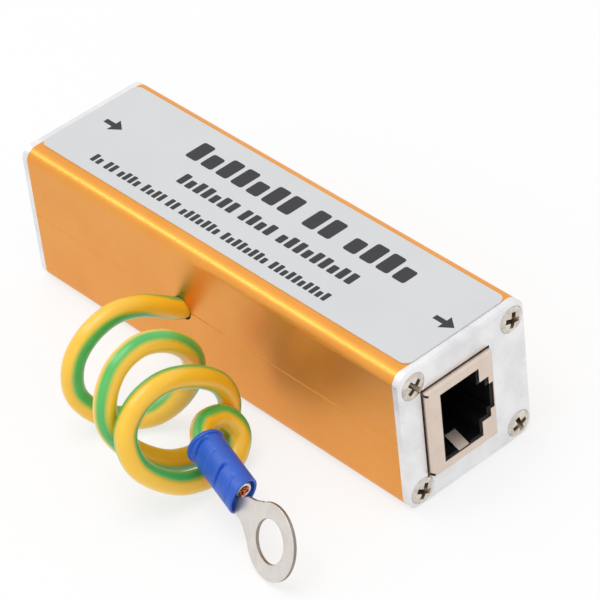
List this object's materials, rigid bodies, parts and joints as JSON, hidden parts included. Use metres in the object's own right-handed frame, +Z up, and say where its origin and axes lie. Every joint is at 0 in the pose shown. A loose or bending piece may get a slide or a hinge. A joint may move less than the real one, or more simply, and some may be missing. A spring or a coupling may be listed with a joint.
{
  "type": "network cable surge protector",
  "caption": "Inline surge protector for a network cable: a split gold-coloured housing with a shielded 8-way jack at each end and a green and yellow earth wire with a blue ring terminal.",
  "frame": {"origin": "centre of the housing's footprint, on the face opposite the label", "axes": "+X along the housing from the IN end to the OUT end, -Y to the side the earth wire leaves, +Z up through the label"},
  "size_m": [0.087, 0.0527, 0.0251],
  "materials": {
    "gold_anodised": "gold anodised, satin",
    "plate_metal": "natural, softly mottled",
    "screw_steel": "plated",
    "label_film": "silver-grey film, matt",
    "shield_sheet": "tinned sheet, satin",
    "black_plastic": "moulded, fine grain",
    "contact_gold": "gold plated",
    "board_green": "solder resist",
    "tinned_metal": "tin plated",
    "wire_insulation": "yellow with a green band, soft sheen",
    "sleeve_blue": "slightly clear blue, soft sheen",
    "copper": "bare copper strands"
  },
  "bodies": {
    "root": {"upper_shell": "gold_anodised", "lower_shell": "gold_anodised", "in_end_plate": "plate_metal", "out_end_plate": "plate_metal", "in_plate_screws": "screw_steel", "out_plate_screws": "screw_steel", "label": "label_film", "in_jack_shield": "shield_sheet", "out_jack_shield": "shield_sheet", "in_jack_insulator": "black_plastic", "out_jack_insulator": "black_plastic", "in_jack_contacts": "contact_gold", "out_jack_contacts": "contact_gold", "circuit_board": "board_green", "gas_tube_1": "tinned_metal", "gas_tube_2": "tinned_metal", "gas_tube_3": "tinned_metal", "gas_tube_4": "tinned_metal", "upper_clamp_diodes": "black_plastic", "lower_clamp_diodes": "black_plastic", "earth_wire_inner": "wire_insulation", "earth_solder_joint": "tinned_metal", "earth_wire_lead": "wire_insulation", "earth_wire_coil": "wire_insulation", "earth_wire_tail": "wire_insulation", "terminal_sleeve": "sleeve_blue", "terminal_ring": "tinned_metal", "terminal_strands": "copper"}
  },
  "joints": []
}
